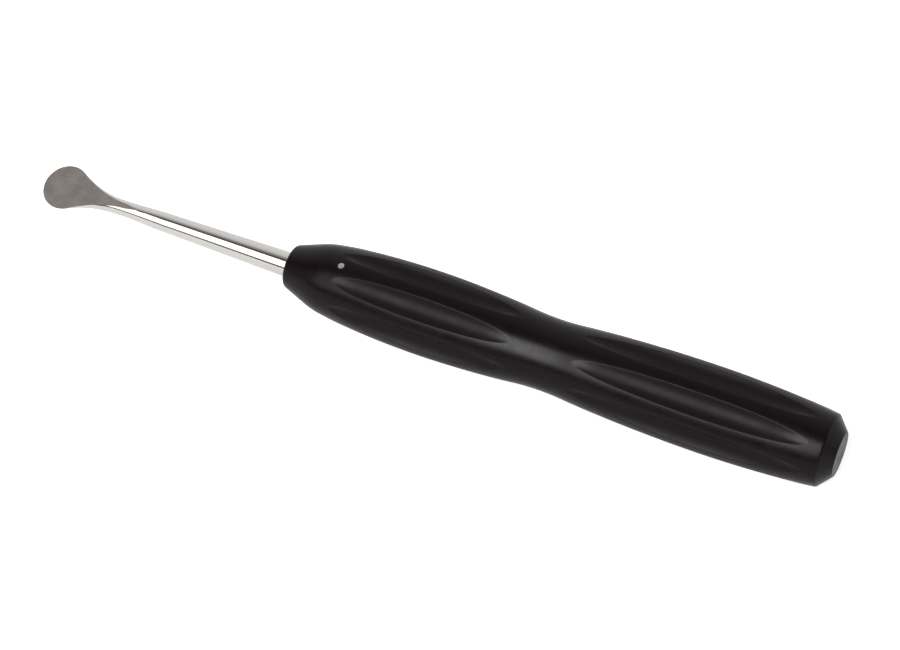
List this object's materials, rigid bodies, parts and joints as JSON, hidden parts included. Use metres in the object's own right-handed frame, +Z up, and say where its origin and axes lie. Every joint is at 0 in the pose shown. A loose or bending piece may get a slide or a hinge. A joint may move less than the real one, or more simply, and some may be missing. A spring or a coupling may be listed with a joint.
{
  "type": "bone curette",
  "caption": "Hand bone curette: a round, flat-faced steel blade on a tapered shank, pinned into a grooved black plastic handle with a waist.",
  "frame": {"origin": "on the surface that the tool lies on, under the middle of its length", "axes": "+X along the tool's axis towards the butt of the handle, +Z up, with one groove of the handle straight up and one straight down"},
  "size_m": [0.1632, 0.0162, 0.0161],
  "materials": {
    "blade_steel": "polished shank, blade face ground to a satin grey",
    "handle_plastic": "black, satin",
    "pin_steel": "ground flush with the handle"
  },
  "bodies": {
    "root": {"blade_and_shank": "blade_steel", "handle": "handle_plastic", "cross_pin": "pin_steel"}
  },
  "joints": []
}
